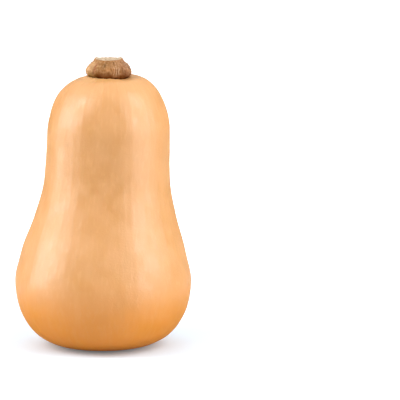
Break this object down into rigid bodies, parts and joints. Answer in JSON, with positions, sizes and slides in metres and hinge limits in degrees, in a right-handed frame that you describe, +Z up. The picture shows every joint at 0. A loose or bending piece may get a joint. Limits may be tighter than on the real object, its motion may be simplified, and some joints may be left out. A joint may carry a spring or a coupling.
{
  "type": "butternut squash",
  "caption": "Whole butternut squash with a round bulb, a long straight neck and a short corky cut stem, standing upright on its blossom end.",
  "frame": {"origin": "the point of the surface it stands on, under the middle of the bulb", "axes": "+Z up from the blossom end to the stem; -Y faces the picture's camera; the neck leans slightly to +X"},
  "size_m": [0.1236, 0.12, 0.2034],
  "materials": {
    "skin": "smooth waxy tan-orange rind, satin",
    "cork": "dry corky brown, matt, with a pale cut face"
  },
  "bodies": {
    "root": {"fruit": "skin", "stem": "cork"}
  },
  "joints": []
}
